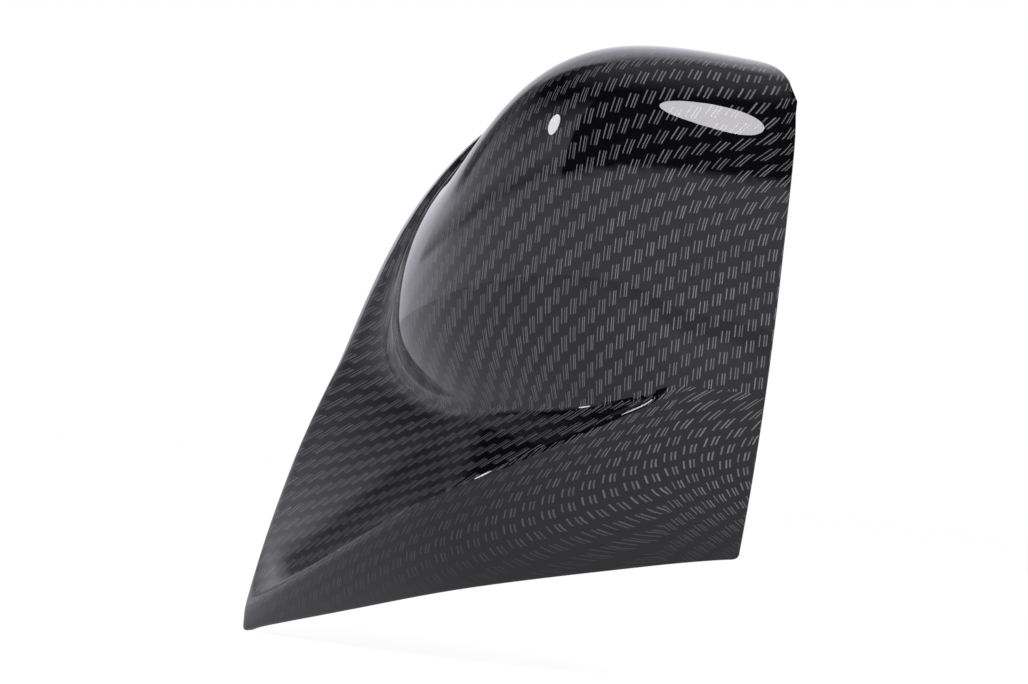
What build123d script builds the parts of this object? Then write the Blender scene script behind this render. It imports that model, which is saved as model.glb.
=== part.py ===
from build123d import *
from itertools import pairwise
from math import atan2, cos, degrees, exp, hypot, pi, radians, sin
import os

# Left-hand wing mirror cover, one moulded shell, in millimetres.
# +X points outboard, +Y to the rear, +Z up. The rear rim lies in the plane Y = 0,
# and Z = 0 is the level of the rim's lower outboard corner.

# Dome
outboard_half_width = 68.4
inboard_half_width = 84.5
dome_depth = 62.2
plan_centre_behind_rim = 1.0
top_height = 129.5
top_drop_outboard = 5.8
top_drop_inboard = 6.0
level_angle_outboard = -10.0
level_angle_inboard = 10.0
drop_sweep_outboard = 1.3
drop_sweep_inboard = 2.0
belly_height_outboard = 70.0
belly_height_inboard = 52.6
top_roundness_outboard = 7.0
top_roundness_inboard = 2.2
turn_outboard = 39.2
turn_inboard = -23.3
turn_sweep = 1.7
side_tuck = 0.08
side_sweep = 2.1
foot_tuck = 39.8
foot_fillet = 3.0
least_fillet = 0.001
foot_above_crease = 6.0
roof_blend = 14.0
roof_blend_sweep = 8.0

# Blade that starts as a fading crease on the outboard side and ends as the horn
fade_angle = 45.7
tip_angle = -29.43
fade_height = 41.4
tip_crease_height = -29.0
crease_sweep = 1.10
crease_grown = 0.12    # share of the way to the tip, as are the next three
fillet_grown = 0.10
ledge_grown = 0.50
past_tip = 0.10
ledge_width = 4.4
horn_reach = 27.0
horn_sweep = 3.03
ledge_slope = 1.20
horn_slope = 0.156
slope_sweep = 0.84
horn_bow = 0.0019
horn_shoulder = 99.8
horn_roof = 120.8
crown_roundness = 2.4
inboard_end_at_rim = -50.0

# Chin below the crease, down to the lower edge
rim_corner_angle = 57.2
tip_edge_height = -35.2
edge_sweep = 1.23
chin_tuck = 11.0
chin_sweep = 1.8
chin_grown = 0.20    # share of the way to the tip
rim_corner_radius = 2.5

# Shell
wall = 2.6
room_below_edge = 10.0

# Snap hooks inside the rim
hook_width = 8.0
hook_length = 15.0
hook_thickness = 2.2
hook_barb = 1.8
hook_barb_length = 4.5
hook_to_rim = 2.0
hook_standoff = 6.0
hook_rib_thickness = 1.8
hook_rib_length = 9.0
top_hook_places = (-8.0, 36.0)
side_hook_heights = (32.0, 86.0)
side_hook_angle = 53.5

# Pins on the inside of the front wall that centre the cover on its frame
pin_radius = 2.5
pin_length = 9.0
pin_boss_radius = 4.0
pin_shoulder_behind_front = 27.0
pin_places = ((22.0, 62.0), (-42.0, 12.0))

# Fan of upright sections about an axis behind the rim
fan_axis_behind_rim = 40.0
core_radius = 20.0
fan_start = 70.0
fan_end = -60.0
fan_overlap = 2.0
fan_count = 27
trim_size = 260.0
profile_steps = 120
dome_count = 24
blade_count = 5
chin_count = 6


def ease(value):
    value = min(max(value, 0.0), 1.0)
    return value * value * (3.0 - 2.0 * value)


def mix(low, high, share):
    return low + (high - low) * share


def plan_radius(angle):
    # Distance from the fan axis to the dome's ellipse, seen from above
    half_width = outboard_half_width if angle > 0 else inboard_half_width
    depth = dome_depth + plan_centre_behind_rim
    shift = fan_axis_behind_rim - plan_centre_behind_rim
    side = (sin(radians(angle)) / half_width) ** 2
    front = cos(radians(angle)) / depth
    half = shift / depth
    root = (half * front) ** 2 + (side + front**2) * (1.0 - half**2)
    return (half * front + root**0.5) / (side + front**2)


def blade_share(angle):
    # 0 where the crease fades out, 1 at the tip, levelling off past the tip
    share = max((fade_angle - angle) / (fade_angle - tip_angle), 0.0)
    return share if share < 1.0 else 1.0 + past_tip * (1.0 - exp((1.0 - share) / past_tip))


def dome_heights(angle):
    share = ease((angle - turn_inboard) / (turn_outboard - turn_inboard))
    belly = mix(belly_height_inboard, belly_height_outboard, share)
    roundness = mix(top_roundness_inboard, top_roundness_outboard, share**turn_sweep)
    inboard = max(0.0, (level_angle_inboard - angle) / (level_angle_inboard - fan_end))
    outboard = max(0.0, (angle - level_angle_outboard) / (fan_start - level_angle_outboard))
    drop = top_drop_inboard * inboard**drop_sweep_inboard + top_drop_outboard * outboard**drop_sweep_outboard
    return belly, roundness, top_height - drop


def crease_point(angle):
    share = blade_share(angle)
    height = mix(tip_crease_height, fade_height, max(1.0 - share, 0.0) ** crease_sweep)
    belly = dome_heights(angle)[0]
    side = plan_radius(angle) * (1.0 - side_tuck * max(0.0, (belly - height) / belly) ** side_sweep)
    blade = plan_radius(angle) + ledge_width * ease(share / ledge_grown) + horn_reach * share**horn_sweep
    return mix(side, blade, ease(share / crease_grown)), height


def edge_height(angle):
    share = max(0.0, (rim_corner_angle - angle) / (rim_corner_angle - tip_angle))
    return tip_edge_height * share**edge_sweep


def upper_profile(angle):
    # Two lines that meet at the foot: over the dome and its belly, then down the blade to the crease
    share = blade_share(angle)
    belly, roundness, top = dome_heights(angle)
    reach, crease = crease_point(angle)
    radius = plan_radius(angle)
    tuck = foot_tuck * ease(share / ledge_grown)
    roof_fillet = roof_blend * share**roof_blend_sweep
    fillet_size = foot_fillet * ease(share / fillet_grown) + roof_fillet + least_fillet
    slope = mix(horn_slope, ledge_slope, max(1.0 - share, 0.0) ** slope_sweep)
    dome_line = []
    blade_line = []
    for step in range(2 * profile_steps + 1):
        if step <= profile_steps:
            out = mix(core_radius, radius, sin(step / profile_steps * pi / 2.0))
            rounding = max(0.0, 1.0 - (out / radius) ** roundness) ** (1.0 / roundness)
            height = mix(belly, top, rounding)
        else:
            height = mix(belly, crease, step / profile_steps - 1.0)
            depth = (belly - height) / belly
            out = radius * (1.0 - side_tuck * depth**side_sweep) - tuck * depth**2
        past_foot = height < crease + foot_above_crease
        if share > 0.0:
            rise = height - crease
            bow = horn_bow * share**2 * rise**2
            crown = min(max(0.0, (height - horn_shoulder) / (horn_roof - horn_shoulder)), 1.0)
            blade = (reach - slope * rise - bow) * (1.0 - crown**crown_roundness) ** (1.0 / crown_roundness)
            past_foot = past_foot or blade > out
            gap = max(fillet_size - abs(out - blade), 0.0)
            out = max(out, blade) + gap**2 / (4.0 * fillet_size)
        if step > profile_steps and past_foot:
            blade_line.append((out, height))
        else:
            dome_line.append((out, height))
    return dome_line, dome_line[-1:] + blade_line


def chin_profile(angle, start):
    # From the crease down to the lower edge, turning under
    share = blade_share(angle)
    belly = dome_heights(angle)[0]
    low = edge_height(angle)
    tuck = chin_tuck * (1.0 - min(share, 1.0) ** 3)
    points = []
    for step in range(profile_steps + 1):
        down = step / profile_steps
        height = mix(start[1], low, down)
        side = plan_radius(angle) * (1.0 - side_tuck * ((belly - height) / belly) ** side_sweep)
        blade = start[0] - tuck * down**chin_sweep
        out = mix(side, blade, ease(share / chin_grown))
        if step == 0:
            gap = start[0] - out
        points.append((out + gap * (1.0 - down) ** 2, height))
    return points


def spaced(points, count):
    # The same line with its points evenly spaced along it
    lengths = [0.0]
    for first, second in pairwise(points):
        lengths.append(lengths[-1] + hypot(second[0] - first[0], second[1] - first[1]))
    result = []
    index = 0
    for step in range(count):
        target = lengths[-1] * step / (count - 1)
        while index < len(points) - 2 and lengths[index + 1] < target:
            index += 1
        share = (target - lengths[index]) / (lengths[index + 1] - lengths[index])
        first, second = points[index], points[index + 1]
        result.append((mix(first[0], second[0], share), mix(first[1], second[1], share)))
    return result


def inward(before, point, after, depth):
    # The point moved in by a depth, square to its two neighbouring runs
    runs = []
    for first, second in ((before, point), (point, after)):
        length = hypot(second[0] - first[0], second[1] - first[1])
        runs.append(((second[0] - first[0]) / length, (second[1] - first[1]) / length))
    (ax, az), (bx, bz) = runs
    scale = depth / (1.0 + ax * bx + az * bz)
    return point[0] + (az + bz) * scale, point[1] - (ax + bx) * scale


def section_plane(angle):
    out = (sin(radians(angle)), -cos(radians(angle)), 0)
    across = (-cos(radians(angle)), -sin(radians(angle)), 0)
    return Plane(origin=(0, fan_axis_behind_rim, 0), x_dir=out, z_dir=across)


def even_spline(points):
    shares = [step / (len(points) - 1) for step in range(len(points))]
    return Edge.make_spline([(x, z, 0) for x, z in points], parameters=shares)


def fan_lines(start, end, depth):
    # The dome, blade and chin lines of every section between two angles, a depth inside the skin
    lines = []
    for step in range(fan_count):
        angle = mix(start, end, step / (fan_count - 1))
        dome, blade = upper_profile(angle)
        chin = spaced(chin_profile(angle, blade[-1]), chin_count)
        line = spaced(dome, dome_count) + spaced(blade, blade_count)[1:] + chin[1:]
        above = (2.0 * line[0][0] - line[1][0], 2.0 * line[0][1] - line[1][1])
        below = (2.0 * line[-1][0] - line[-2][0], 2.0 * line[-1][1] - line[-2][1])
        ends = [above] + line + [below]
        line = [inward(*run, depth) for run in zip(ends, ends[1:], ends[2:])]
        foot = dome_count - 1
        crease = foot + blade_count - 1
        lines.append((angle, line[:foot + 1], line[foot:crease + 1], line[crease:]))
    return lines


def skin_height(x, y):
    # Height of the roof over a point of the ground plan
    angle = degrees(atan2(x, fan_axis_behind_rim - y))
    reach = hypot(x, fan_axis_behind_rim - y)
    for (near, high), (far, low) in pairwise(upper_profile(angle)[0]):
        if near <= reach < far:
            return mix(high, low, (reach - near) / (far - near))


def skin_reach(angle, height):
    # Distance from the fan axis to the skin at a height
    dome, blade = upper_profile(angle)
    for (near, high), (far, low) in pairwise(dome + blade[1:] + chin_profile(angle, blade[-1])):
        if low <= height < high:
            return mix(near, far, (high - height) / (high - low))


# Full outer body, closed towards the fan axis
with BuildPart() as outer_body:
    for angle, dome, blade, chin in fan_lines(fan_start, fan_end, 0.0):
        with BuildSketch(section_plane(angle)):
            with BuildLine():
                add(even_spline(dome))
                add(even_spline(blade))
                add(even_spline(chin))
                Polyline(chin[-1], (dome[0][0], chin[-1][1]), dome[0])
            make_face()
    loft()

# Snap hooks under the roof and on the outboard wall, each on a thin rib, and the centring pins
hook_front = -hook_to_rim - hook_length
rib_middle = hook_front + hook_rib_length / 2.0
with BuildPart() as fixings:
    for place in top_hook_places:
        arm = skin_height(place, rib_middle) - wall - hook_standoff
        with BuildSketch(Plane.YZ.offset(place - hook_width / 2.0)):
            with BuildLine():
                Polyline(
                    (hook_front, arm),
                    (-hook_to_rim - hook_barb_length, arm),
                    (-hook_to_rim - hook_barb_length, arm + hook_barb),
                    (-hook_to_rim, arm),
                    (-hook_to_rim, arm - hook_thickness),
                    (hook_front, arm - hook_thickness),
                    close=True,
                )
            make_face()
        extrude(amount=hook_width)
        with BuildSketch(Plane.YZ.offset(place - hook_rib_thickness / 2.0)):
            with Locations((rib_middle, arm + hook_standoff)):
                Rectangle(hook_rib_length, 2.0 * hook_standoff + hook_thickness)
        extrude(amount=hook_rib_thickness)
    for height in side_hook_heights:
        reach = skin_reach(side_hook_angle, height)
        arm = reach * sin(radians(side_hook_angle)) - wall - hook_standoff
        with BuildSketch(Plane.XY.offset(height - hook_width / 2.0)):
            with BuildLine():
                Polyline(
                    (arm, hook_front),
                    (arm, -hook_to_rim - hook_barb_length),
                    (arm + hook_barb, -hook_to_rim - hook_barb_length),
                    (arm, -hook_to_rim),
                    (arm - hook_thickness, -hook_to_rim),
                    (arm - hook_thickness, hook_front),
                    close=True,
                )
            make_face()
        extrude(amount=hook_width)
        with BuildSketch(Plane.XY.offset(height - hook_rib_thickness / 2.0)):
            with Locations((arm + hook_standoff, rib_middle)):
                Rectangle(2.0 * hook_standoff + hook_thickness, hook_rib_length)
        extrude(amount=hook_rib_thickness)
    shoulder = pin_shoulder_behind_front - dome_depth
    for place, height in pin_places:
        with BuildSketch(Plane.XZ.offset(-shoulder)):
            with Locations((place, height)):
                Circle(pin_boss_radius)
        extrude(amount=2.0 * pin_shoulder_behind_front)
        with BuildSketch(Plane.XZ.offset(-shoulder)):
            with Locations((place, height)):
                Circle(pin_radius)
        extrude(amount=-pin_length)

# Room inside the shell, open below, with the fixings left standing in it
with BuildPart() as inner_room:
    for angle, dome, blade, chin in fan_lines(fan_start + fan_overlap, fan_end - fan_overlap, wall):
        under = (chin[-1][0], chin[-1][1] - room_below_edge)
        with BuildSketch(section_plane(angle)):
            with BuildLine():
                add(even_spline(dome))
                add(even_spline(blade))
                add(even_spline(chin))
                Polyline(chin[-1], under, (dome[0][0], under[1]), dome[0])
            make_face()
    loft()
    add(fixings.part, mode=Mode.SUBTRACT)

# Ground plan of the cover: the rear rim and the inboard end are straight cuts, the end one through the tip
tip_out = crease_point(tip_angle)[0]
tip_x = tip_out * sin(radians(tip_angle))
tip_y = fan_axis_behind_rim - tip_out * cos(radians(tip_angle))
end_x = mix(inboard_end_at_rim, tip_x, -trim_size / tip_y)
with BuildPart() as mirror_cover:
    with BuildSketch(Plane.XY.offset(-trim_size)):
        with BuildLine():
            Polyline(
                (inboard_end_at_rim, 0),
                (trim_size, 0),
                (trim_size, -trim_size),
                (end_x, -trim_size),
                close=True,
            )
        make_face()
    extrude(amount=2.0 * trim_size)
    add(outer_body.part, mode=Mode.INTERSECT)
    add(inner_room.part, mode=Mode.SUBTRACT)
    short_edges = mirror_cover.edges().filter_by(lambda edge: edge.length < 2.0 * wall)
    fillet(short_edges.sort_by_distance((outboard_half_width, 0, 0))[0], rim_corner_radius)

os.makedirs("parts", exist_ok=True)
mirror_cover.part.label = "mirror_cover"
export_step(mirror_cover.part, "parts/mirror_cover.step")
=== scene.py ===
from math import atan2, cos, degrees, exp, hypot, pi, radians, sin

import bpy
import numpy as np
from mathutils import Matrix, Vector


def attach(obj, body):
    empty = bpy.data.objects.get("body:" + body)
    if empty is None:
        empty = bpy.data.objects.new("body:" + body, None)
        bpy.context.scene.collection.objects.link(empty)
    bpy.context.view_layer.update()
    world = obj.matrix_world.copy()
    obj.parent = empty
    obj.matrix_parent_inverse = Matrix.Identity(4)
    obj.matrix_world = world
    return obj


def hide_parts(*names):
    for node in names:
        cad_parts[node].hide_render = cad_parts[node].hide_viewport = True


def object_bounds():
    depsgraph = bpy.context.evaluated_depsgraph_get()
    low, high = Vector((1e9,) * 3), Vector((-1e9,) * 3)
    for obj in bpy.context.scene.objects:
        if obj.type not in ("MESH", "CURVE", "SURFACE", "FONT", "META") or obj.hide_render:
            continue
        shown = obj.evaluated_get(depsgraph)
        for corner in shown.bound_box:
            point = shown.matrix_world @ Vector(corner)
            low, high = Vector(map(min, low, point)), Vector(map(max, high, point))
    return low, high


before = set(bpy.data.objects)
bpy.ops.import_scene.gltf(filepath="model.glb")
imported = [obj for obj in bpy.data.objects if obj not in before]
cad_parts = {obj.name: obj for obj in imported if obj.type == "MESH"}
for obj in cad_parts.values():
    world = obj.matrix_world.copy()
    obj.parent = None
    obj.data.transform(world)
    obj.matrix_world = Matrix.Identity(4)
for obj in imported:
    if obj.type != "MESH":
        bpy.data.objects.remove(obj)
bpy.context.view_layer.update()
mm = 0.001
print("frame loaded")


# Helpers

def ease(value):
    value = min(max(value, 0.0), 1.0)
    return value * value * (3.0 - 2.0 * value)


def mix(low, high, share):
    return low + (high - low) * share


def solve(test, low, high):
    # the place where the test turns from below zero to above it
    for halving in range(40):
        middle = (low + high) / 2.0
        if test(middle) > 0.0:
            high = middle
        else:
            low = middle
    return (low + high) / 2.0


def clearSelection():
    if bpy.context.object and bpy.context.object.mode != "OBJECT":
        bpy.ops.object.mode_set(mode="OBJECT")
    bpy.ops.object.select_all(action="DESELECT")


def pick(obj):
    clearSelection()
    obj.select_set(True)
    bpy.context.view_layer.objects.active = obj


def addModifier(obj, kind, **settings):
    modifier = obj.modifiers.new(kind.title(), kind)
    for name, value in settings.items():
        setattr(modifier, name, value)


def applyModifiers(obj):
    pick(obj)
    for modifier in list(obj.modifiers):
        bpy.ops.object.modifier_apply(modifier=modifier.name)


def joined(parts, name):
    clearSelection()
    for part in parts:
        part.select_set(True)
    bpy.context.view_layer.objects.active = parts[0]
    bpy.ops.object.join()
    parts[0].name = parts[0].data.name = name
    return parts[0]


# Cover shell: a dome with a blade that grows out of its foot into the inboard horn,
# in mm and degrees of a fan of upright sections about an axis behind the rim
cover = {
    "outboardHalfWidth": 68.4, "inboardHalfWidth": 84.5, "domeDepth": 62.2, "planCentre": 1.0,
    "topHeight": 129.5, "topDropOutboard": 4.0, "topDropInboard": 6.0,
    "levelOutboard": -10.0, "levelInboard": 10.0, "dropSpanOutboard": 60.0, "dropSpanInboard": 70.0,
    "dropSweepOutboard": 1.3, "dropSweepInboard": 2.0,
    "bellyOutboard": 70.0, "bellyInboard": 52.6, "roundOutboard": 7.0, "roundInboard": 2.2,
    "turnOutboard": 39.2, "turnInboard": -23.3, "turnSweep": 1.7,
    "sideTuck": 0.08, "sideSweep": 2.1, "footTuck": 39.8,
    "footFillet": 3.0, "leastFillet": 0.001, "roofBlend": 14.0, "roofSweep": 8.0,
    "fadeAngle": 45.7, "tipAngle": -29.43, "fadeHeight": 41.4, "tipCreaseHeight": -29.0, "creaseSweep": 1.10,
    "creaseGrown": 0.12, "chinGrown": 0.2,                 # shares of the way to the tip, as are the next
    "filletGrown": 0.3, "ledgeGrown": 0.5, "pastTip": 0.1,
    "ledgeWidth": 4.4, "hornReach": 27.0, "hornSweep": 3.03,
    "ledgeSlope": 1.20, "hornSlope": 0.156, "slopeSweep": 0.84, "hornBow": 0.0019,
    "hornShoulder": 99.8, "hornRoof": 120.8, "crownRound": 2.4, "endAtRim": -50.0,
    "rimCornerAngle": 57.2, "tipEdgeHeight": -35.2, "edgeSweep": 1.23, "chinTuck": 11.0, "chinSweep": 1.8,
    "fanAxis": 40.0, "core": 20.0, "wall": 2.6,
    "rimTurn": 0.80,                                       # place on the roof curve of the rim's upper corner
    "rimSearch": (40.0, 66.0), "endSearch": (-58.0, -15.0),
    "columns": 150, "upperRows": 110, "chinRows": 18, "upperSamples": 160, "chinSamples": 60,
    "borderGap": 2.6, "creaseGap": 1.9, "edgeGap": 1.2,    # strips left free along borders for their rounding
    "endGap": 1.5, "rimGap": 2.0,                          # the same in degrees of the fan
    "creaseRound": 1.3, "edgeRound": 0.6, "endRound": 1.8, "cornerRound": 2.2, "roundSegments": 4,
    "smoothAngle": 38.0,
}
size = type("Sizes", (), cover)


def planRadius(angle):
    halfWidth = size.outboardHalfWidth if angle > 0 else size.inboardHalfWidth
    depth = size.domeDepth + size.planCentre
    side = (sin(radians(angle)) / halfWidth) ** 2
    front = cos(radians(angle)) / depth
    half = (size.fanAxis - size.planCentre) / depth
    root = (half * front) ** 2 + (side + front**2) * (1.0 - half**2)
    return (half * front + root**0.5) / (side + front**2)


def bladeShare(angle):
    # 0 where the crease fades out, 1 at the horn's tip
    share = max((size.fadeAngle - angle) / (size.fadeAngle - size.tipAngle), 0.0)
    return share if share < 1.0 else 1.0 + size.pastTip - size.pastTip * exp((1.0 - share) / size.pastTip)


def domeHeights(angle):
    share = ease((angle - size.turnInboard) / (size.turnOutboard - size.turnInboard))
    belly = mix(size.bellyInboard, size.bellyOutboard, share)
    roundness = mix(size.roundInboard, size.roundOutboard, share**size.turnSweep)
    pastInboard = max(0.0, (size.levelInboard - angle) / size.dropSpanInboard)
    pastOutboard = max(0.0, (angle - size.levelOutboard) / size.dropSpanOutboard)
    inboardDrop = size.topDropInboard * pastInboard**size.dropSweepInboard
    outboardDrop = size.topDropOutboard * pastOutboard**size.dropSweepOutboard
    return belly, roundness, size.topHeight - inboardDrop - outboardDrop


def sideReach(angle, depth):
    # the plain side wall, where depth 0 is at the belly
    return planRadius(angle) * (1.0 - size.sideTuck * depth**size.sideSweep)


def creasePoint(angle):
    share = bladeShare(angle)
    height = mix(size.tipCreaseHeight, size.fadeHeight, max(1.0 - share, 0.0) ** size.creaseSweep)
    belly = domeHeights(angle)[0]
    side = sideReach(angle, max(0.0, (belly - height) / belly))
    ledge = size.ledgeWidth * ease(share / size.ledgeGrown)
    blade = planRadius(angle) + ledge + size.hornReach * share**size.hornSweep
    return mix(side, blade, ease(share / size.creaseGrown)), height


def edgeHeight(angle):
    share = max(0.0, (size.rimCornerAngle - angle) / (size.rimCornerAngle - size.tipAngle))
    return size.tipEdgeHeight * share**size.edgeSweep


def upperPoint(angle, place):
    # place 0 to 1 runs from the core over the roof to the belly, 1 to 2 from the belly to the crease
    share = bladeShare(angle)
    belly, roundness, top = domeHeights(angle)
    reach, crease = creasePoint(angle)
    radius = planRadius(angle)
    if place <= 1.0:
        out = mix(size.core, radius, sin(place * pi / 2.0))
        height = belly + (top - belly) * max(0.0, 1.0 - (out / radius) ** roundness) ** (1.0 / roundness)
    else:
        height = mix(belly, crease, place - 1.0)
        depth = (belly - height) / belly
        out = sideReach(angle, depth) - size.footTuck * ease(share / size.ledgeGrown) * depth**2
    lead = -1.0
    if share > 0.0:
        fillet = size.footFillet * ease(share / size.filletGrown) + size.roofBlend * share**size.roofSweep
        fillet += size.leastFillet
        slope = mix(size.hornSlope, size.ledgeSlope, max(1.0 - share, 0.0) ** size.slopeSweep)
        rise = height - crease
        crown = (height - size.hornShoulder) / (size.hornRoof - size.hornShoulder)
        crown = min(max(0.0, crown), 1.0)
        blade = reach - slope * rise - size.hornBow * share**2 * rise**2
        blade *= (1.0 - crown**size.crownRound) ** (1.0 / size.crownRound)
        lead = blade - out
        gap = max(fillet - abs(lead), 0.0)
        out = max(out, blade) + gap**2 / (4.0 * fillet)
    return out, height, lead


def chinPoint(angle, down):
    share = bladeShare(angle)
    belly = domeHeights(angle)[0]
    startOut, startHeight, lead = upperPoint(angle, 2.0)
    height = mix(startHeight, edgeHeight(angle), down)

    def plain(level, part):
        side = sideReach(angle, (belly - level) / belly)
        blade = startOut - size.chinTuck * (1.0 - min(share, 1.0) ** 3) * part**size.chinSweep
        return mix(side, blade, ease(share / size.chinGrown))

    gap = startOut - plain(startHeight, 0.0)
    return plain(height, down) + gap * (1.0 - down) ** 2, height, lead


def skinPoint(angle, place):
    # distance from the fan's axis, height, and how far the blade leads the dome
    return upperPoint(angle, place) if place <= 2.0 else chinPoint(angle, place - 2.0)


def fanPoint(angle, out):
    return out * sin(radians(angle)), size.fanAxis - out * cos(radians(angle))


def inFront(angle, place):
    # above zero in front of the rear rim
    return skinPoint(angle, place)[0] * cos(radians(angle)) - size.fanAxis


def rimPlace(angle):
    return solve(lambda place: inFront(angle, place), 0.0, 1.0)


def rimAngle(place):
    return solve(lambda angle: -inFront(angle, place), *size.rimSearch)


def pastEnd(angle, place):
    # above zero outboard of the straight cut from the rim to the horn's tip
    tipX, tipY = fanPoint(size.tipAngle, creasePoint(size.tipAngle)[0])
    x, y = fanPoint(angle, skinPoint(angle, place)[0])
    return (size.endAtRim - x) * tipY + y * (tipX - size.endAtRim)


def endAngle(place):
    return solve(lambda angle: pastEnd(angle, place), *size.endSearch)


def borderSteps(count, length, gapLow, gapHigh):
    # shares along a line, even but for a wider first and last strip
    steps = np.linspace(gapLow / length, 1.0 - gapHigh / length, count - 1)
    return np.concatenate(([0.0], steps, [1.0]))


def runAlong(points):
    steps = np.linalg.norm(np.diff(points, axis=0), axis=1)
    return np.concatenate(([0.0], np.cumsum(steps)))


def evenRows(line, rows, gapLow, gapHigh):
    points = []
    for angle, place in line:
        out, height, lead = skinPoint(angle, place)
        points.append((*fanPoint(angle, out), height, angle, lead))
    points = np.array(points)
    run = runAlong(points[:, :3])
    wanted = borderSteps(rows, run[-1], gapLow, gapHigh) * run[-1]
    return np.stack([np.interp(wanted, run, channel) for channel in points.T], axis=1)


def skinGrid():
    # columns from the inboard end to the rim, each from the roof to the lower edge,
    # with x, y, z, the angle of the fan and the blade's lead over the dome
    startAngle = degrees(atan2(size.endAtRim, size.fanAxis))
    turnAngle = rimAngle(size.rimTurn)
    roofStart = rimPlace(startAngle)
    upperSteps = np.linspace(0.0, 1.0, size.upperSamples)
    upperEnds = []
    for step in upperSteps:
        upperEnds.append((endAngle(mix(roofStart, 2.0, step)), rimAngle(mix(size.rimTurn, 2.0, step))))
    chinSteps = np.linspace(0.0, 1.0, size.chinSamples)
    chinEnds = [(endAngle(2.0 + step), rimAngle(2.0 + step)) for step in chinSteps]
    columns = []
    for share in borderSteps(size.columns, turnAngle - startAngle, size.endGap, size.rimGap):
        roof = rimPlace(mix(startAngle, turnAngle, share))
        upper = [(mix(*ends, share), mix(roof, 2.0, step)) for step, ends in zip(upperSteps, upperEnds)]
        chin = [(mix(*ends, share), 2.0 + step) for step, ends in zip(chinSteps, chinEnds)]
        upper = evenRows(upper, size.upperRows, size.borderGap, size.creaseGap)
        chin = evenRows(chin, size.chinRows, size.creaseGap, size.edgeGap)
        columns.append(np.concatenate((upper, chin[1:])))
    return np.array(columns)


print("skin formulas ready")


# Printed weave as the film is stretched over the shell, with values by the angle of the fan in pairs of lists
weaveFit = {
    "fan": (-60.0, 70.0, 261),
    "pitch": ((0.0, 10.0, 25.0, 40.0, 50.0, 60.0), (2.6, 2.3, 2.35, 2.8, 3.15, 3.5)),    # width of a column
    "repeat": ((10.0, 20.0, 50.0), (9.0, 7.7, 5.3)),                     # two cells along a column
    "rise": ((-20.0, 5.0, 18.0, 59.0), (0.035, 0.0, -0.028, -0.027)),    # slope of the rows
    "level": 75.0, "roofLean": 0.006, "roofAngles": (26.0, 56.0), "roofTurn": 25.0, "roofEnd": 45.0,
    "bladePitch": 2.84, "bladeLean": 0.40, "bladeRepeat": 7.5, "bladeRise": 0.019,
    "chinPitch": 4.8, "chinRepeat": 3.7, "chinRise": -0.079, "chinBend": 0.0096, "chinUpright": 17.0,
    "fade": (0.55, 0.95), "faded": 0.15,                                 # over the chin, down to its edge
    "thinAngles": (18.0, 48.0), "thinned": 0.28,                         # along the chin, towards the horn
}
film = type("Film", (), weaveFit)


def weavePlaces(columns):
    # places on the print for the dome, the blade and the chin, and how strong the print is
    fan = np.linspace(*film.fan)
    around = runAlong(np.array([fanPoint(angle, planRadius(angle)) for angle in fan]))
    step = np.diff(around, prepend=0.0)
    count = np.cumsum(step / np.interp(fan, *film.pitch))
    rise = np.cumsum(step * np.interp(fan, *film.rise))
    dome, blade, chin = (np.zeros(columns.shape[:2] + (2,)) for chart in range(3))
    strength = np.ones(columns.shape[:2])
    for index, column in enumerate(columns):
        height, angle = column[:, 2], column[:, 3]
        run = runAlong(column[:, :3])
        level = np.interp(-film.level, -height, run)
        under = np.maximum(run - run[size.upperRows], 0.0)
        arc = np.interp(angle, fan, around)
        above = np.clip(level - run, 0.0, film.roofEnd)
        past = np.maximum(above - film.roofTurn, 0.0)
        lean = np.minimum(above, film.roofTurn) ** 2
        lean += film.roofTurn * past * (2.0 - past / (film.roofEnd - film.roofTurn))
        lean *= film.roofLean * np.interp(angle, film.roofAngles, (0.0, 1.0))
        dome[index, :, 0] = np.interp(angle, fan, count) - lean
        dome[index, :, 1] = (level - run) / np.interp(angle, *film.repeat) + np.interp(angle, fan, rise)
        blade[index, :, 0] = arc / film.bladePitch - film.bladeLean * height
        blade[index, :, 1] = height / film.bladeRepeat + film.bladeRise * arc
        bend = film.chinBend * ((under - film.chinUpright) ** 2 - film.chinUpright**2)
        chin[index, :, 0] = arc / film.chinPitch - bend
        chin[index, :, 1] = height / film.chinRepeat + film.chinRise * arc
        low = np.interp(under / under[-1], film.fade, (1.0, film.faded))
        thin = np.interp(angle, film.thinAngles, (film.thinned, 1.0))
        strength[index] = np.where(under > 0.0, low * thin, 1.0)
    return dome.reshape(-1, 2), blade.reshape(-1, 2), chin.reshape(-1, 2), strength.ravel()


def makeShell():
    columns = skinGrid()
    across, down = columns.shape[:2]
    clearSelection()
    bpy.ops.mesh.primitive_grid_add(x_subdivisions=down - 1, y_subdivisions=across - 1, size=1.0)
    shell = bpy.context.object
    shell.name = shell.data.name = "mirrorCover"
    mesh = shell.data
    flat = columns[:, :, :3].reshape(-1, 3) * mm
    mesh.vertices.foreach_set("co", flat.ravel())
    dome, blade, chin, strength = weavePlaces(columns)
    corner = np.zeros(len(mesh.loops), dtype=np.int32)
    mesh.loops.foreach_get("vertex_index", corner)
    quads = corner.reshape(-1, 4)
    onChin = np.repeat(quads.min(axis=1) % down >= size.upperRows, 4)[:, None]
    onBlade = np.repeat(columns[:, :, 4].ravel()[quads].mean(axis=1) > 0.0, 4)[:, None]
    places = np.where(onChin, chin[corner], np.where(onBlade, blade[corner], dome[corner]))
    mesh.uv_layers[0].name = "print"
    mesh.uv_layers[0].data.foreach_set("uv", places.ravel())
    mesh.attributes.new("printStrength", "FLOAT", "POINT").data.foreach_set("value", strength)
    mesh.update()
    return shell, across, down


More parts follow.
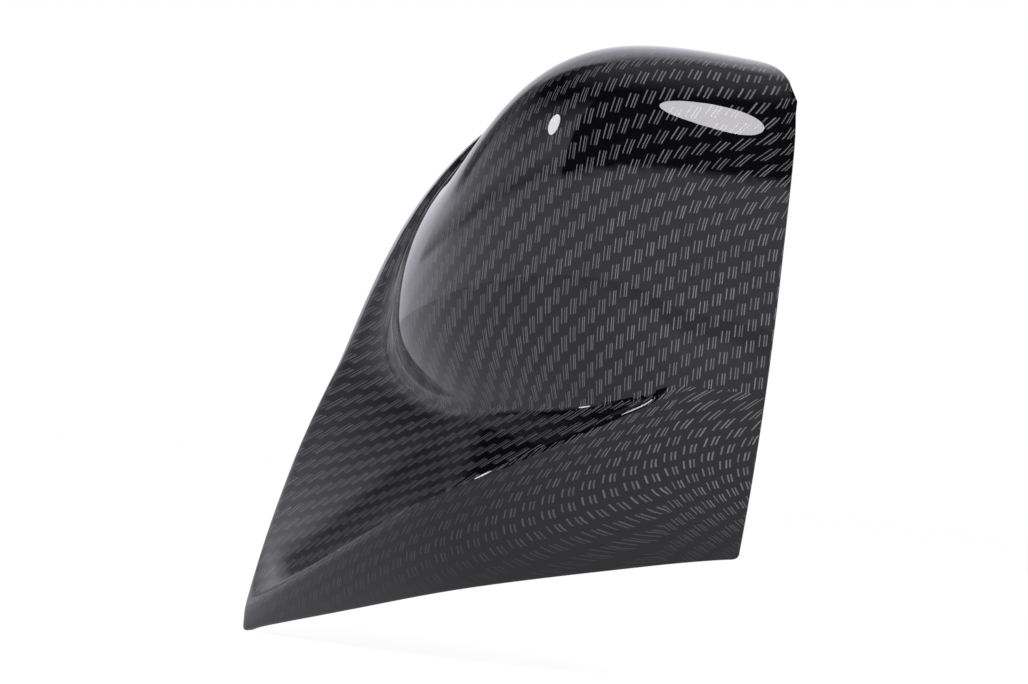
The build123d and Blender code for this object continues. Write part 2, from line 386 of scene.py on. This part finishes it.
def setRounding(shell, across, down):
    # how far each edge of the thickened shell is rounded, as a share of the widest rounding
    count = across * down
    mesh = shell.data
    weights = mesh.attributes.new("bevel_weight_edge", "FLOAT", "EDGE")
    corners = ((0, 0), (0, down - 1), (across - 1, down - 1))
    for edge in mesh.edges:
        first, second = sorted(edge.vertices)
        column, row = divmod(first % count, down)
        nextColumn, nextRow = divmod(second % count, down)
        outer, inner = second < count, first >= count
        rounding = 0.0
        if not outer and not inner:
            rounding = size.cornerRound if (column, row) in corners else 0.0
        elif column == nextColumn == 0:
            rounding = size.endRound if outer else size.edgeRound
        elif column == nextColumn == across - 1 or row == nextRow and row in (0, down - 1):
            rounding = size.edgeRound
        elif row == nextRow == size.upperRows and outer:
            rounding = size.creaseRound
        weights.data[edge.index].value = rounding / size.cornerRound


def makeWall(shell, across, down):
    addModifier(shell, "SOLIDIFY", thickness=size.wall * mm, offset=-1.0, use_even_offset=True,
                use_quality_normals=True, material_offset=1, material_offset_rim=1)
    applyModifiers(shell)
    setRounding(shell, across, down)
    addModifier(shell, "BEVEL", width=size.cornerRound * mm, limit_method="WEIGHT",
                segments=size.roundSegments, use_clamp_overlap=False, harden_normals=False)
    applyModifiers(shell)


shell, across, down = makeShell()
print("shell grid", across, down, len(shell.data.polygons))


# Snap hooks and centring pins on the inside
fixing = {
    "hookWidth": 8.0, "hookLength": 15.0, "hookThickness": 2.2,
    "barb": 1.8, "barbLength": 4.5, "barbSink": 0.5, "barbTip": 0.05,
    "toRim": 2.0, "standoff": 6.0, "ribThickness": 1.8, "ribLength": 9.0,
    "topPlaces": (-8.0, 36.0), "sideHeights": (32.0, 86.0), "sideAngle": 53.5,
    "pinRadius": 2.5, "pinLength": 9.0, "pinSink": 1.0, "bossRadius": 4.0, "bossStub": 5.0, "shoulder": 27.0,
    "pinPlaces": ((22.0, 62.0), (-42.0, 12.0)), "roundSides": 40,
    "edgeRound": 0.3, "edgeSegments": 2, "edgeAngle": 50.0, "nearTip": 0.1,
    "frontSearch": -90.0, "sideSearch": (20.0, 90.0),
}
fix = type("Fixings", (), fixing)
hookFront, hookTip = -fix.toRim - fix.hookLength, -fix.toRim
pinShoulder = fix.shoulder - size.domeDepth


def skinReach(angle, height):
    place = solve(lambda step: height - skinPoint(angle, step)[1], 0.0, 3.0)
    return skinPoint(angle, place)[0]


def depthInside(x, y, z):
    # above zero inside the skin
    return skinReach(degrees(atan2(x, size.fanAxis - y)), z) - hypot(x, size.fanAxis - y)


def wallFront(x, z):
    return solve(lambda y: depthInside(x, y, z), fix.frontSearch, pinShoulder) + size.wall / 2.0


def wallSide(y, z):
    return solve(lambda x: -depthInside(x, y, z), *fix.sideSearch) - size.wall / 2.0


def wallRoof(x, y):
    angle, reach = degrees(atan2(x, size.fanAxis - y)), hypot(x, size.fanAxis - y)
    place = solve(lambda step: upperPoint(angle, step)[0] - reach, 0.0, 1.0)
    return upperPoint(angle, place)[1] - size.wall / 2.0


def block(low, high):
    clearSelection()
    low, high = Vector(low) * mm, Vector(high) * mm
    bpy.ops.mesh.primitive_cube_add(size=1.0, location=(low + high) / 2.0, scale=high - low)
    bpy.ops.object.transform_apply(location=True, rotation=False, scale=True)
    return bpy.context.object


def makeHook(place, arm, up, wallAt):
    # the barb and the rib stand along axis up, 0 for outboard and 2 for the roof
    def corner(across, along, rise):
        return (across, along, rise) if up == 2 else (rise, along, across)

    low, high = place - fix.hookWidth / 2.0, place + fix.hookWidth / 2.0
    bar = block(corner(low, hookFront, arm - fix.hookThickness), corner(high, hookTip, arm))
    barb = block(corner(low, hookTip - fix.barbLength, arm - fix.barbSink),
                 corner(high, hookTip, arm + fix.barb))
    for vertex in barb.data.vertices:
        if vertex.co[up] > arm * mm and vertex.co.y > (hookTip - fix.nearTip) * mm:
            vertex.co[up] = (arm + fix.barbTip) * mm
    low, high = place - fix.ribThickness / 2.0, place + fix.ribThickness / 2.0
    rib = block(corner(low, hookFront, arm - fix.hookThickness / 2.0),
                corner(high, hookFront + fix.ribLength, arm + fix.standoff))
    for vertex in rib.data.vertices:
        if vertex.co[up] > arm * mm:
            vertex.co[up] = wallAt(*(value / mm for value in vertex.co)) * mm
    return [bar, barb, rib]


def makeTopHook(place):
    arm = wallRoof(place, hookFront + fix.ribLength / 2.0) - size.wall / 2.0 - fix.standoff
    return makeHook(place, arm, 2, lambda x, y, z: wallRoof(x, y))


def makeSideHook(height):
    arm = skinReach(fix.sideAngle, height) * sin(radians(fix.sideAngle)) - size.wall - fix.standoff
    return makeHook(height, arm, 0, lambda x, y, z: wallSide(y, z))


def rod(x, z, radius, low, high):
    clearSelection()
    bpy.ops.mesh.primitive_cylinder_add(vertices=fix.roundSides, radius=radius * mm, depth=(high - low) * mm,
                                        location=(x * mm, (low + high) / 2.0 * mm, z * mm),
                                        rotation=(pi / 2.0, 0.0, 0.0))
    bpy.ops.object.transform_apply(location=True, rotation=True, scale=True)
    return bpy.context.object


def makePin(x, z):
    boss = rod(x, z, fix.bossRadius, pinShoulder - fix.bossStub, pinShoulder)
    for vertex in boss.data.vertices:
        if vertex.co.y < (pinShoulder - fix.pinSink) * mm:
            vertex.co.y = wallFront(vertex.co.x / mm, vertex.co.z / mm) * mm
    pin = rod(x, z, fix.pinRadius, pinShoulder - fix.pinSink, pinShoulder + fix.pinLength)
    return [boss, pin]


def makeFixings():
    parts = []
    for place in fix.topPlaces:
        parts += makeTopHook(place)
    for height in fix.sideHeights:
        parts += makeSideHook(height)
    for x, z in fix.pinPlaces:
        parts += makePin(x, z)
    for part in parts:
        addModifier(part, "BEVEL", width=fix.edgeRound * mm, segments=fix.edgeSegments, limit_method="ANGLE",
                    angle_limit=radians(fix.edgeAngle))
        applyModifiers(part)
    return joined(parts, "fixings")


fixings = makeFixings()
print("fixings", len(fixings.data.polygons))


# Finishes
printFinish = {
    "ground": (0.0022, 0.0022, 0.0028, 1.0), "thread": (0.130, 0.130, 0.138, 1.0),
    "twillStep": 0.25, "cellCentre": 0.5, "cellShare": 0.50, "cellSoft": 0.05, "dimmest": 0.55,
    "lines": (0.10, 0.45, 0.66), "lineHalf": 0.028, "lineSoft": 0.03,
    "coatRoughness": 0.012, "coatIor": 1.5, "baseRoughness": 0.45,
}
insideFinish = {
    "colour": (0.010, 0.010, 0.011, 1.0), "roughness": 0.48,
    "grain": 900.0, "grainDetail": 3.0, "grainBump": 0.06, "grainDepth": 0.0002,
}


class Nodes:
    def __init__(self, tree):
        tree.nodes.clear()
        self.tree = tree

    def add(self, kind, inputs=(), **settings):
        node = self.tree.nodes.new(kind)
        for name, value in settings.items():
            setattr(node, name, value)
        for place, value in dict(inputs).items():
            self.put(node.inputs[place], value)
        return node

    def put(self, socket, value):
        if isinstance(value, bpy.types.NodeSocket):
            self.tree.links.new(value, socket)
        else:
            socket.default_value = value

    def math(self, kind, *values):
        return self.add("ShaderNodeMath", dict(enumerate(values)), operation=kind).outputs[0]

    def times(self, first, *others):
        for other in others:
            first = self.math("MULTIPLY", first, other)
        return first

    def ramp(self, value, fromLow, fromHigh, low=0.0, high=1.0):
        return self.add("ShaderNodeMapRange", {"Value": value, "From Min": fromLow, "From Max": fromHigh,
                                               "To Min": low, "To Max": high}).outputs[0]

    def stripe(self, place, centre, half, soft):
        away = self.math("ABSOLUTE", self.math("SUBTRACT", place, centre))
        return self.ramp(away, half + soft, half)

    def blend(self, share, first, second):
        return self.add("ShaderNodeMixShader", {0: share, 1: first.outputs[0], 2: second.outputs[0]})

    def show(self, shader, kind="ShaderNodeOutputMaterial"):
        self.add(kind, {"Surface": shader.outputs[0]})


def newFinish(name):
    material = bpy.data.materials.new(name)
    material.use_nodes = True
    nodes = Nodes(material.node_tree)
    return material, nodes, nodes.add("ShaderNodeBsdfPrincipled")


def makePrintFinish():
    material, nodes, surface = newFinish("lacqueredWeave")
    uv = nodes.add("ShaderNodeUVMap", uv_map="print")
    across, along = nodes.add("ShaderNodeSeparateXYZ", {0: uv.outputs[0]}).outputs[:2]
    column = nodes.math("FLOOR", across)
    inColumn = nodes.math("FRACT", across)
    shifted = nodes.math("SUBTRACT", along, nodes.times(column, printFinish["twillStep"]))
    inRepeat = nodes.math("FRACT", shifted)
    cell = nodes.stripe(inRepeat, printFinish["cellCentre"], printFinish["cellShare"] / 2.0,
                        printFinish["cellSoft"])
    lines = 0.0
    for centre in printFinish["lines"]:
        line = nodes.stripe(inColumn, centre, printFinish["lineHalf"], printFinish["lineSoft"])
        cellPlace = nodes.add("ShaderNodeCombineXYZ", {0: column, 1: nodes.math("FLOOR", shifted), 2: centre})
        chance = nodes.add("ShaderNodeTexWhiteNoise", {"Vector": cellPlace.outputs[0]}).outputs[0]
        line = nodes.times(line, nodes.ramp(chance, 0.0, 1.0, printFinish["dimmest"], 1.0))
        lines = nodes.math("MAXIMUM", lines, line)
    strength = nodes.add("ShaderNodeAttribute", attribute_name="printStrength").outputs["Fac"]
    thread = nodes.times(cell, lines, strength)
    colour = nodes.add("ShaderNodeMix", {"Factor": thread, "A": printFinish["ground"],
                                         "B": printFinish["thread"]}, data_type="RGBA")
    nodes.put(surface.inputs["Base Color"], colour.outputs["Result"])
    surface.inputs["Roughness"].default_value = printFinish["baseRoughness"]
    surface.inputs["Specular IOR Level"].default_value = 0.0
    surface.inputs["Coat Weight"].default_value = 1.0
    surface.inputs["Coat Roughness"].default_value = printFinish["coatRoughness"]
    surface.inputs["Coat IOR"].default_value = printFinish["coatIor"]
    nodes.show(surface)
    return material


def makeInsideFinish():
    material, nodes, surface = newFinish("mouldedBlack")
    place = nodes.add("ShaderNodeTexCoord")
    grain = nodes.add("ShaderNodeTexNoise", {"Vector": place.outputs["Object"],
                                             "Scale": insideFinish["grain"],
                                             "Detail": insideFinish["grainDetail"]})
    bump = nodes.add("ShaderNodeBump", {"Height": grain.outputs[0], "Strength": insideFinish["grainBump"],
                                        "Distance": insideFinish["grainDepth"]})
    surface.inputs["Base Color"].default_value = insideFinish["colour"]
    surface.inputs["Roughness"].default_value = insideFinish["roughness"]
    nodes.put(surface.inputs["Normal"], bump.outputs[0])
    nodes.show(surface)
    return material


weave, inside = makePrintFinish(), makeInsideFinish()
shell.data.materials.append(weave)
shell.data.materials.append(inside)
makeWall(shell, across, down)
fixings.data.materials.append(inside)
shell = joined([shell, fixings], "mirrorCover")
pick(shell)
bpy.ops.object.shade_smooth_by_angle(angle=radians(size.smoothAngle))
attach(shell, "root")
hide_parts("mirror_cover")
print("cover", len(shell.data.polygons), sum(len(p.vertices) - 2 for p in shell.data.polygons))


# Studio: a white table, and what the lacquer mirrors of the room, by azimuth and elevation in degrees
studio = {
    "azimuth": 64.52, "elevation": -0.94, "roll": 6.47, "distance": 1.3, "lens": 175.3, "sensor": 36.0,
    "aim": (-0.0154, -0.0309, 0.0485),
    "floorSize": 8.0, "tableColour": (0.9, 0.9, 0.9, 1.0), "tableRoughness": 0.7,
    "tableSeen": 1.15, "tableMirrored": 0.78, "tableShare": 0.8,
    "frontHorizon": 4.1, "sideHorizon": 4.5, "horizonSoft": 0.4, "corner": (4.0, 3.0),
    "sideFade": (31.0, 7.0), "gap": (4.5, 8.0), "ceiling": (40.0, 68.0),
    "backdrop": (-79.0, -87.0), "backdropFade": (60.0, 45.0),
    "panelNear": (-68.0, -74.0), "panelFar": (-94.0, -88.0),    # a dark panel before the side wall's far end
    "panelFoot": (8.5, 11.0), "panelTop": (28.0, 24.0),
    "wall": 0.92, "frontRoom": 0.012, "gapRoom": 0.45, "ceilingRoom": 0.55, "panelRoom": 0.25, "fill": 0.40,
    "tint": (0.98, 0.96, 1.06, 1.0), "white": (1.0, 1.0, 1.0, 1.0),
}
lamps = {
    "softBox": {"azimuth": 73.0, "elevation": 26.4, "tilt": -11.5, "distance": 1.7, "size": (1.56, 0.52),
                "power": 27.0, "colour": (1.0, 0.97, 1.0)},
    "smallBox": {"azimuth": -11.1, "elevation": 20.3, "tilt": -46.4, "distance": 1.67, "size": (0.327, 0.15),
                 "power": 1.9, "colour": (1.0, 0.97, 1.0)},
}


def towards(azimuth, elevation):
    return Vector((sin(azimuth) * cos(elevation), -cos(azimuth) * cos(elevation), sin(elevation)))


def makeCamera():
    azimuth, elevation, roll = (radians(studio[name]) for name in ("azimuth", "elevation", "roll"))
    back = towards(azimuth, elevation)
    level = Vector((cos(azimuth), sin(azimuth), 0.0))
    upright = back.cross(level)
    right = level * cos(roll) + upright * sin(roll)
    up = upright * cos(roll) - level * sin(roll)
    turn = Matrix((right, up, back)).transposed()
    place = Vector(studio["aim"]) + back * studio["distance"]
    clearSelection()
    bpy.ops.object.camera_add(location=place, rotation=turn.to_euler())
    camera = bpy.context.object
    camera.data.sensor_width = studio["sensor"]
    camera.data.lens = studio["lens"]
    bpy.context.scene.camera = camera


def makeFloor():
    clearSelection()
    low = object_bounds()[0].z
    bpy.ops.mesh.primitive_plane_add(size=studio["floorSize"], location=(0.0, 0.0, low))
    floor = bpy.context.object
    floor.name = "floor"
    material, nodes, surface = newFinish("whiteTable")
    surface.inputs["Base Color"].default_value = studio["tableColour"]
    surface.inputs["Roughness"].default_value = studio["tableRoughness"]
    surface.inputs["Specular IOR Level"].default_value = 0.0
    path = nodes.add("ShaderNodeLightPath")
    seen = nodes.times(path.outputs["Is Camera Ray"], studio["tableShare"])
    mirrored = nodes.times(path.outputs["Is Glossy Ray"], studio["tableShare"])
    white = nodes.add("ShaderNodeEmission", {"Color": studio["white"], "Strength": studio["tableSeen"]})
    tinted = nodes.add("ShaderNodeEmission", {"Color": studio["tint"], "Strength": studio["tableMirrored"]})
    nodes.show(nodes.blend(seen, nodes.blend(mirrored, surface, tinted), white))
    floor.data.materials.append(material)


def makeWorld():
    world = bpy.data.worlds.new("studio")
    bpy.context.scene.world = world
    world.use_nodes = True
    nodes = Nodes(world.node_tree)
    path = nodes.add("ShaderNodeLightPath")
    place = nodes.add("ShaderNodeTexCoord")
    x, y, z = nodes.add("ShaderNodeSeparateXYZ", {0: place.outputs["Generated"]}).outputs
    turn = nodes.math("DEGREES", nodes.math("ARCTAN2", x, nodes.times(y, -1.0)))
    rise = nodes.math("DEGREES", nodes.math("ARCSINE", z))
    side = nodes.ramp(turn, *studio["corner"])
    horizon = nodes.ramp(side, 0.0, 1.0, studio["frontHorizon"], studio["sideHorizon"])
    sideGlow = nodes.times(side, nodes.ramp(rise, *studio["sideFade"], 0.0, studio["wall"]),
                           nodes.ramp(rise, *studio["gap"], studio["gapRoom"], 1.0))
    backGlow = nodes.times(nodes.ramp(turn, *studio["backdrop"], 0.0, studio["wall"]),
                           nodes.ramp(rise, *studio["backdropFade"]))
    panel = nodes.times(nodes.ramp(turn, *studio["panelNear"]), nodes.ramp(turn, *studio["panelFar"]),
                        nodes.ramp(rise, *studio["panelFoot"]), nodes.ramp(rise, *studio["panelTop"]))
    shade = nodes.ramp(panel, 0.0, 1.0, 1.0, studio["panelRoom"])
    glow = nodes.times(nodes.math("MAXIMUM", sideGlow, backGlow), shade)
    topGlow = nodes.ramp(rise, *studio["ceiling"], studio["frontRoom"], studio["ceilingRoom"])
    room = nodes.math("ADD", glow, topGlow)
    over = nodes.ramp(nodes.math("SUBTRACT", rise, horizon), -studio["horizonSoft"], studio["horizonSoft"])
    below = nodes.ramp(over, 0.0, 1.0, studio["wall"], 0.0)
    light = nodes.math("ADD", below, nodes.times(over, room))
    mirrored = nodes.add("ShaderNodeBackground", {"Color": studio["tint"], "Strength": light})
    seen = nodes.add("ShaderNodeBackground", {"Color": studio["white"], "Strength": 1.0})
    fill = nodes.add("ShaderNodeBackground", {"Color": studio["white"], "Strength": studio["fill"]})
    lit = nodes.blend(path.outputs["Is Glossy Ray"], fill, mirrored)
    nodes.show(nodes.blend(path.outputs["Is Camera Ray"], lit, seen), "ShaderNodeOutputWorld")


def makeLamp(name, settings):
    away = towards(radians(settings["azimuth"]), radians(settings["elevation"]))
    turn = away.to_track_quat("Z", "Y").to_matrix() @ Matrix.Rotation(radians(settings["tilt"]), 3, "Z")
    clearSelection()
    bpy.ops.object.light_add(type="AREA", location=away * settings["distance"], rotation=turn.to_euler())
    lamp = bpy.context.object
    lamp.name = name
    lamp.data.shape = "ELLIPSE"
    lamp.data.size, lamp.data.size_y = settings["size"]
    lamp.data.energy = settings["power"]
    lamp.data.color = settings["colour"]


makeCamera()
makeFloor()
makeWorld()
for name, settings in lamps.items():
    makeLamp(name, settings)
bpy.context.scene.view_settings.view_transform = "Standard"
print("studio ready")
